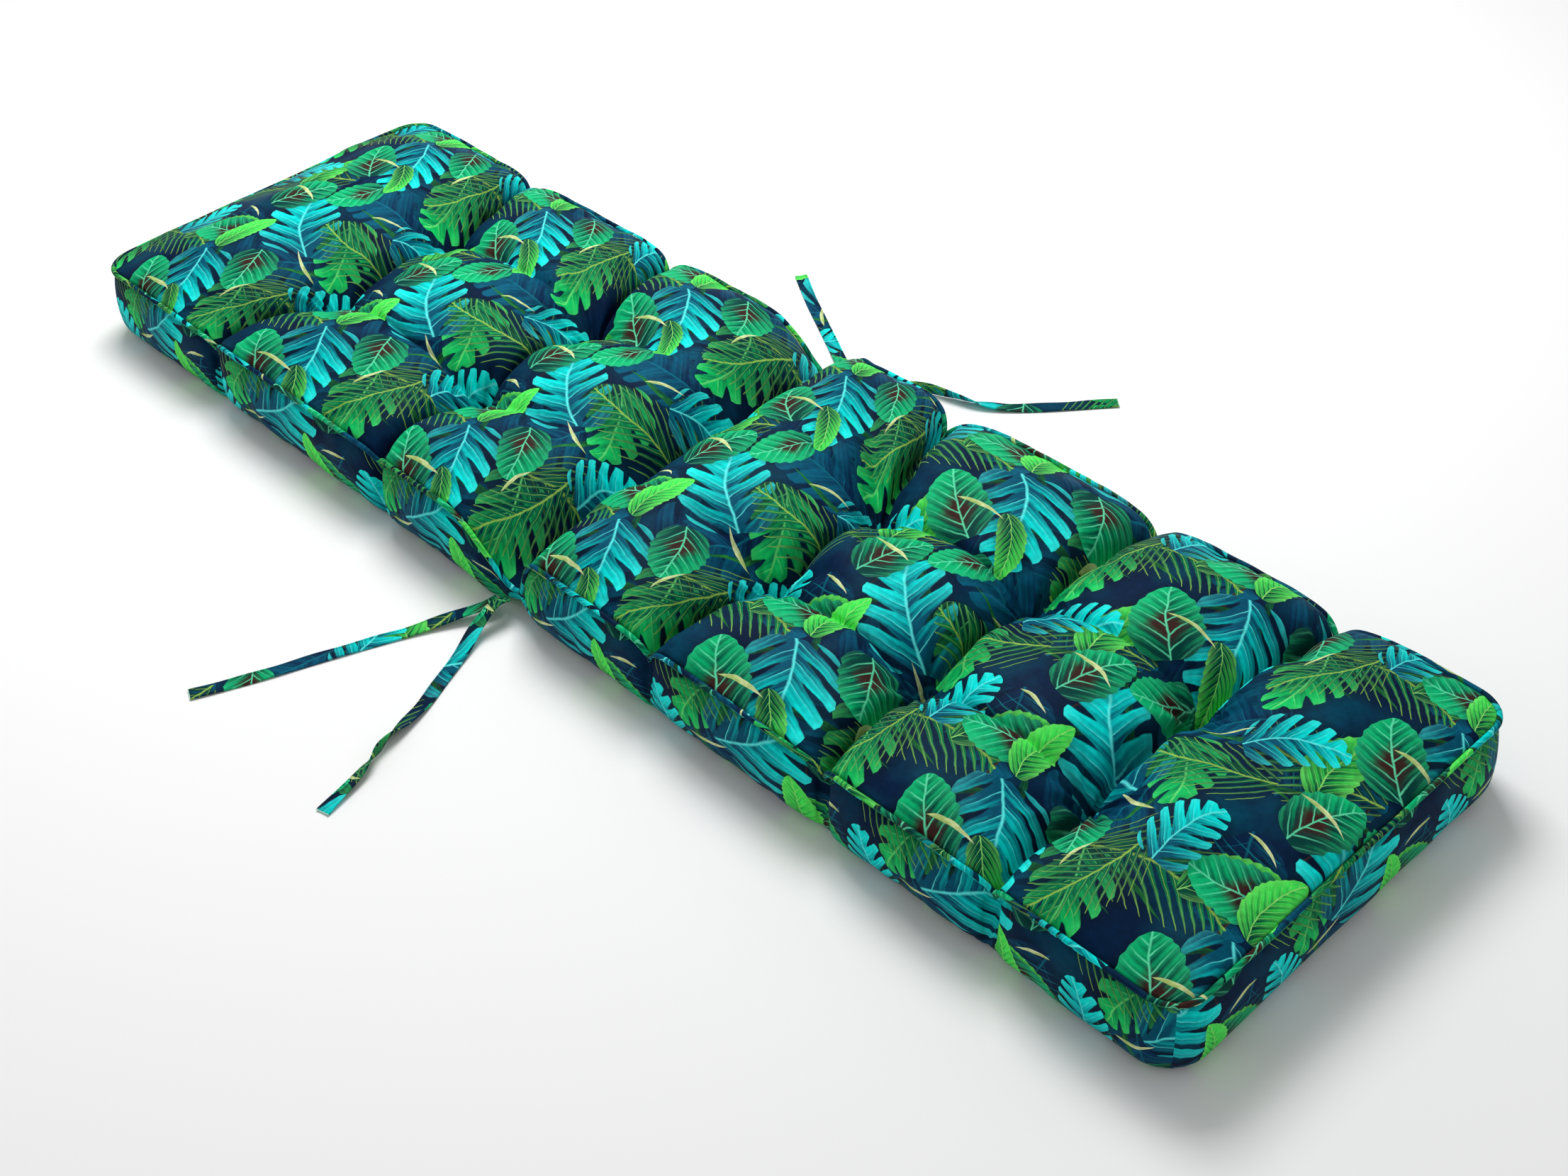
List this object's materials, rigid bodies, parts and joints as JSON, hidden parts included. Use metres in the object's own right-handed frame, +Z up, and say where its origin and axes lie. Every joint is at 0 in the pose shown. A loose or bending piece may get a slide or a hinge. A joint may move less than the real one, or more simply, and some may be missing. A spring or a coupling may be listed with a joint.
{
  "type": "sun lounger cushion",
  "caption": "Long tufted box cushion for a sun lounger, folded across its middle, with piping and tie strips.",
  "frame": {"origin": "on the ground under the middle of the cushion's footprint, the free ties left out", "axes": "+X along the cushion towards the half with three rows of tufts, +Y across it, +Z up through its thickness"},
  "size_m": [1.724, 1.0536, 0.124],
  "materials": {
    "cover_cloth": "smooth woven polyester with a dense leaf print, slight sheen",
    "piping_cloth": "the cover's printed cloth wrapped round a cord",
    "tie_cloth": "the cover's printed cloth folded and stitched into a flat strip"
  },
  "bodies": {
    "root": {"filled_cushion": "cover_cloth", "top_piping": "piping_cloth", "tie_near_back": "tie_cloth", "tie_near_front": "tie_cloth", "tie_far_back": "tie_cloth", "tie_far_front": "tie_cloth"}
  },
  "joints": []
}
